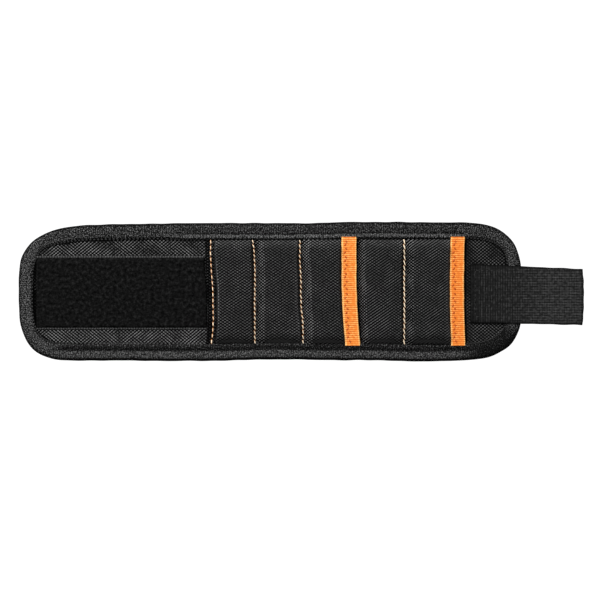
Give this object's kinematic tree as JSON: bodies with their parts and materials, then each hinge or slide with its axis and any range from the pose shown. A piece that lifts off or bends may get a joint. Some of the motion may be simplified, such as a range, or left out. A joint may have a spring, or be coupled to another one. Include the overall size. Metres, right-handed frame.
{
  "type": "magnetic wristband",
  "caption": "Padded cloth wristband with magnets in sewn channels, ribbon-edged pockets and a hook-and-loop strap, which holds screws, nails and bits at hand.",
  "frame": {"origin": "under the middle of the whole length, on the surface that the flat band lies on", "axes": "+X along the band from the loop tail to the strap tip, +Y across it, +Z out of the outer face"},
  "size_m": [0.367, 0.09, 0.0106],
  "materials": {
    "shell_cloth": "coarse black nylon weave",
    "front_cloth": "black nylon weave, padded",
    "binding_tape": "ribbed black binding tape",
    "loop_pile": "soft brushed loops",
    "spacer_mesh": "black spacer mesh",
    "orange_ribbon": "ribbed orange ribbon",
    "orange_thread": "thick glossy sewing thread",
    "strap_webbing": "flat black woven strap",
    "hook_tape": "black nylon hooks",
    "backing_cloth": "thin black lining cloth",
    "magnet_plating": "nickel plate"
  },
  "bodies": {
    "channel_3": {"channel_3_shell": "shell_cloth", "channel_3_lining": "spacer_mesh", "channel_3_binding_upper": "binding_tape", "channel_3_binding_lower": "binding_tape"},
    "channel_2": {"channel_2_shell": "shell_cloth", "channel_2_lining": "spacer_mesh", "channel_2_binding_upper": "binding_tape", "channel_2_binding_lower": "binding_tape", "channel_2_front": "front_cloth", "channel_2_magnet_upper": "magnet_plating", "channel_2_magnet_lower": "magnet_plating", "seam_3_thread": "orange_thread"},
    "channel_1": {"channel_1_shell": "shell_cloth", "channel_1_lining": "spacer_mesh", "channel_1_binding_upper": "binding_tape", "channel_1_binding_lower": "binding_tape", "channel_1_front": "front_cloth", "channel_1_magnet_upper": "magnet_plating", "channel_1_magnet_lower": "magnet_plating", "seam_1_thread": "orange_thread", "seam_2_thread": "orange_thread"},
    "tail_root": {"tail_root_shell": "shell_cloth", "tail_root_lining": "spacer_mesh", "tail_root_binding_upper": "binding_tape", "tail_root_binding_lower": "binding_tape", "tail_root_loop_patch": "loop_pile"},
    "tail_end": {"tail_end_shell": "shell_cloth", "tail_end_lining": "spacer_mesh", "tail_end_binding": "binding_tape", "tail_end_loop_patch": "loop_pile"},
    "channel_4": {"channel_4_shell": "shell_cloth", "channel_4_lining": "spacer_mesh", "channel_4_binding_upper": "binding_tape", "channel_4_binding_lower": "binding_tape", "channel_4_front": "front_cloth", "channel_4_magnet_upper": "magnet_plating", "channel_4_magnet_lower": "magnet_plating", "seam_4_thread": "orange_thread"},
    "channel_5": {"channel_5_shell": "shell_cloth", "channel_5_lining": "spacer_mesh", "channel_5_binding_upper": "binding_tape", "channel_5_binding_lower": "binding_tape"},
    "tab": {"tab_shell": "shell_cloth", "tab_lining": "spacer_mesh", "tab_binding": "binding_tape", "tab_strap_anchor": "strap_webbing"},
    "strap": {"strap_webbing": "strap_webbing", "strap_hook_tape": "hook_tape"},
    "pocket_a": {"pocket_a_front": "front_cloth", "pocket_a_backing": "backing_cloth", "pocket_a_magnet_upper": "magnet_plating", "pocket_a_magnet_lower": "magnet_plating", "pocket_a_ribbon": "orange_ribbon"},
    "pocket_b": {"pocket_b_front": "front_cloth", "pocket_b_backing": "backing_cloth", "pocket_b_magnet_upper": "magnet_plating", "pocket_b_magnet_lower": "magnet_plating", "pocket_b_ribbon": "orange_ribbon"}
  },
  "joints": [
    {"name": "wrap", "type": "hinge", "parent": "channel_3", "child": "channel_2", "pos_m": [-0.0002, 0, 0.0044], "axis": [0, -1, 0], "range_deg": [0, 35.7]},
    {"name": "wrap_seam_2", "type": "hinge", "parent": "channel_2", "child": "channel_1", "pos_m": [-0.0304, 0, 0.0044], "axis": [0, -1, 0], "range_deg": [0, 31.7]},
    {"name": "wrap_seam_1", "type": "hinge", "parent": "channel_1", "child": "tail_root", "pos_m": [-0.058, 0, 0.0044], "axis": [0, -1, 0], "range_deg": [0, 51.1]},
    {"name": "wrap_tail", "type": "hinge", "parent": "tail_root", "child": "tail_end", "pos_m": [-0.1208, 0, 0.0044], "axis": [0, -1, 0], "range_deg": [0, 72.9]},
    {"name": "wrap_mouth_a", "type": "hinge", "parent": "channel_3", "child": "channel_4", "pos_m": [0.0369, 0, 0.0044], "axis": [0, 1, 0], "range_deg": [0, 34.6]},
    {"name": "wrap_seam_4", "type": "hinge", "parent": "channel_4", "child": "channel_5", "pos_m": [0.0669, 0, 0.0044], "axis": [0, 1, 0], "range_deg": [0, 35.7]},
    {"name": "wrap_mouth_b", "type": "hinge", "parent": "channel_5", "child": "tab", "pos_m": [0.1064, 0, 0.0044], "axis": [0, 1, 0], "range_deg": [0, 40]},
    {"name": "strap_fold", "type": "hinge", "parent": "tab", "child": "strap", "pos_m": [0.1428, -0.002, 0.0062], "axis": [0, 1, 0], "range_deg": [-90, 58.2]},
    {"name": "pocket_a_open", "type": "hinge", "parent": "channel_3", "child": "pocket_a", "pos_m": [0.00055, 0, 0.0051], "axis": [0, -1, 0], "range_deg": [0, 20]},
    {"name": "pocket_b_open", "type": "hinge", "parent": "channel_5", "child": "pocket_b", "pos_m": [0.06765, 0, 0.0051], "axis": [0, -1, 0], "range_deg": [0, 20]}
  ],
  "couplings": [
    {"joint": "wrap_seam_2", "follows": "wrap", "ratio": 0.8879},
    {"joint": "wrap_seam_1", "follows": "wrap", "ratio": 1.4313},
    {"joint": "wrap_tail", "follows": "wrap", "ratio": 2.042},
    {"joint": "wrap_mouth_a", "follows": "wrap", "ratio": 0.9691},
    {"joint": "wrap_seam_4", "follows": "wrap", "ratio": 1},
    {"joint": "wrap_mouth_b", "follows": "wrap", "ratio": 1.1204}
  ]
}
